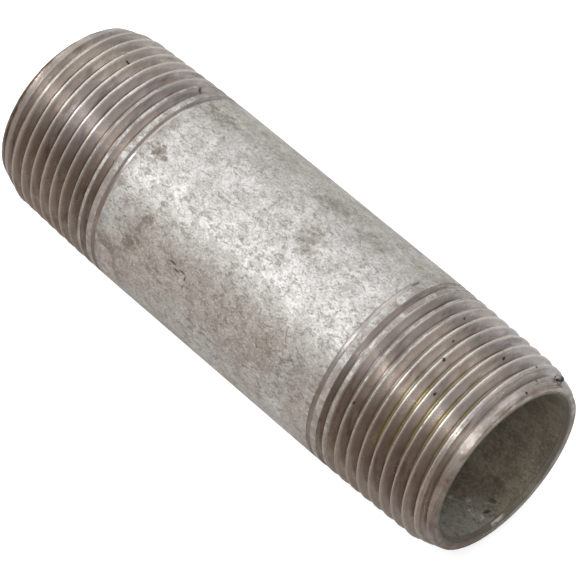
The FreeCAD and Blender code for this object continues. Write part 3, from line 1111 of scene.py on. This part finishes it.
# Millimetres from the pipe's middle.
DIRT_FROM, DIRT_TO = 37.45, 37.7
PALE_PATCHES = [
    (33.0, 96, 14.0, 9.0, 1.0, 0.0),
    (36.0, 128, 6.0, 7.0, 0.9, 0.0),
    (-30.0, 60, 8.0, 5.0, 0.7, 0.0),
]
BORE_SCRAPS = [
    (36.3, 149, 0.35, 0.8, 0.9, 0.2),
    (35.7, 158, 0.55, 0.5, 0.7, 0.3),
    (34.4, 170, 1.3, 0.9, 0.5, -0.3),
    (36.9, 138, 0.30, 0.5, 0.6, 0.0),
]

bore_metal, tree, surface = metal_material("bore zinc", 0.25)
mottle = use_group(tree, mottle_group, {"Clouds size": 0.40, "Specks size": 1.3})
here = use_group(tree, pipe_place)
ground = blend_colour(tree, remap(tree, mottle["Clouds"], 0.36, 0.64), BORE_BROWN, BORE_PALE)
# Large pale greenish patches, lighter than the zinc round them.
pale_patches = marks(tree, PALE_PATCHES)
ground = paint(tree, ground, PATCH_GREEN, pale_patches)
ground = paint(tree, ground, BORE_SPECK, remap(tree, mottle["Specks"], 0.52, 0.66), 0.6)
ground = paint(tree, ground, BORE_GRAIN_DARK, remap(tree, mottle["Grain"], 0.52, 0.66), 0.5)
ground = paint(tree, ground, BORE_GRAIN_PALE, remap(tree, mottle["Grain"], 0.46, 0.34), 0.4)
pale_mask = calculate(tree, "MULTIPLY", remap(tree, mottle["Specks"], 0.42, 0.34), pale_patches)
ground = paint(tree, ground, PATCH_FLECK, pale_mask, 0.7)
from_middle = calculate(tree, "ABSOLUTE", here["Along"])
ground = paint(tree, ground, MOUTH_DIRT, remap(tree, from_middle, DIRT_FROM, DIRT_TO))
colour = paint(tree, ground, SCRAP_DARK, marks(tree, BORE_SCRAPS))
say_nodes("bore zinc", tree)

# %% Bore zinc: roughness and relief
BORE_RELIEF_MM = 0.10

dull = remap(tree, mottle["Clouds"], 0.3, 0.7, 0.66, 0.52)
relief = calculate(tree, "ADD", mottle["Clouds"],
                   calculate(tree, "MULTIPLY", mottle["Grain"], 0.5))
set_surface(tree, surface, colour, dull, relief, BORE_RELIEF_MM)
bore_zinc.data.materials.append(bore_metal)
say_nodes("bore zinc", tree)

# %% [markdown]
# ## Floor
#
# The part is shown as in a catalogue, on a plain white floor. A floor that shone would light
# the underside of the pipe, and a duller one would look grey. So the floor's own paint is a
# light grey, and it glows only for the camera's own rays, which light nothing.

# %% Floor
FLOOR_GREY = (0.68, 0.68, 0.68, 1)
FLOOR_GLOW = 0.65
FLOOR_SIZE = 3.0
FLOOR_GAP = 0.05 * MM

floor_mesh = bmesh.new()
bmesh.ops.create_grid(floor_mesh, x_segments=1, y_segments=1, size=FLOOR_SIZE,
                      matrix=Matrix.Translation((0, 0, cad_box[0].z - FLOOR_GAP)))
floor_data = bpy.data.meshes.new("floor")
floor_mesh.to_mesh(floor_data)
floor_mesh.free()
floor = bpy.data.objects.new("floor", floor_data)
bpy.context.scene.collection.objects.link(floor)
floor_paint = bpy.data.materials.new("pale floor")
floor_paint.use_nodes = True
tree = floor_paint.node_tree
surface = next(node for node in tree.nodes if node.type == "BSDF_PRINCIPLED")
surface.inputs["Base Color"].default_value = FLOOR_GREY
surface.inputs["Roughness"].default_value = 0.9
surface.inputs["Specular IOR Level"].default_value = 0.1
surface.inputs["Emission Color"].default_value = (1, 1, 1, 1)
seen = add_node(tree, "ShaderNodeLightPath").outputs["Is Camera Ray"]
glow = calculate(tree, "MULTIPLY", seen, FLOOR_GLOW)
tree.links.new(glow, surface.inputs["Emission Strength"])
floor.data.materials.append(floor_paint)
print("floor at z, mm:", round((cad_box[0].z - FLOOR_GAP) / MM, 3))

# %% [markdown]
# ## Lights
#
# A round bar mirrors a light as a line along itself, so each light is placed by the line that
# it should brighten: a long narrow strip for the bright line along the barrel, and a broad soft
# one for the far side. Two small low lights past the near end brighten the flanks that
# face them, and a pale room fills the rest.

# %% Lights
# The camera's own axes: from the pipe towards it, to its right, and up.
BACK = Vector((0.4433, -0.4193, 0.7923)).normalized()
RIGHT = Vector((0.687, 0.727, 0)).normalized()
UP = BACK.cross(RIGHT)
TOWARDS_NEAR_END = Vector((0.32, 0, 0))
ROOM_LIGHT = 0.59


def soft_box(name, direction, distance, width, height, watts):
    """An area light that looks at the origin from a direction, its width along the pipe."""
    light = bpy.data.lights.new(name, "AREA")
    light.shape = "RECTANGLE"
    light.size = width
    light.size_y = height
    light.energy = watts
    lamp = bpy.data.objects.new(name, light)
    away = Vector(direction).normalized()
    along = (Vector((1, 0, 0)) - away * away.x).normalized()
    turn = Matrix((along, away.cross(along), away)).transposed().to_4x4()
    lamp.matrix_world = Matrix.Translation(away * distance) @ turn
    bpy.context.scene.collection.objects.link(lamp)
    print(name, "is", distance, "m away, with", watts, "W")


def mirror_direction(degrees):
    """Where a light must be for the camera to see it in the barrel at an angle round it."""
    angle = math.radians(FACING_ANGLE + degrees)
    normal = Vector((0, math.cos(angle), math.sin(angle)))
    return 2 * normal.dot(BACK) * normal - BACK


# Each row: name, direction, distance, width and height in metres, watts.
for row in (
    ("strip over the facing line", mirror_direction(1) + TOWARDS_NEAR_END, 0.9, 1.9, 0.09, 6.6),
    ("broad light beyond", mirror_direction(-27), 0.9, 1.3, 0.85, 3.3),
    ("low light past the near end", (1.0, 0.05, 0.13), 0.8, 0.18, 0.14, 0.35),
    ("low light to the side of it", (0.907, 0.42, 0.13), 0.8, 0.18, 0.16, 0.35),
):
    soft_box(*row)
world = bpy.data.worlds.new("pale room")
world.use_nodes = True
world.node_tree.nodes["Background"].inputs["Color"].default_value = (1, 1, 1, 1)
world.node_tree.nodes["Background"].inputs["Strength"].default_value = ROOM_LIGHT
bpy.context.scene.world = world
bpy.context.scene.view_settings.view_transform = "Standard"

# %% [markdown]
# ## Camera
#
# The lens is long and the camera stands well back, so the far end is hardly smaller than the
# near one.

# %% Camera
LENS_MM = 229
SENSOR_MM = 36
# From the pipe's middle, in mm.
CAMERA_DISTANCE = 444.51
AIM_RIGHT, AIM_UP = 0.89, -0.89

camera_data = bpy.data.cameras.new("camera")
camera_data.lens = LENS_MM
camera_data.sensor_width = SENSOR_MM
camera_data.clip_end = 10
camera = bpy.data.objects.new("camera", camera_data)
camera.matrix_world = Matrix.Translation(
    (AIM_RIGHT * RIGHT + AIM_UP * UP + CAMERA_DISTANCE * BACK) * MM
) @ Matrix((RIGHT, UP, BACK)).transposed().to_4x4()
bpy.context.scene.collection.objects.link(camera)
bpy.context.scene.camera = camera
print("camera lens, mm:", camera_data.lens)
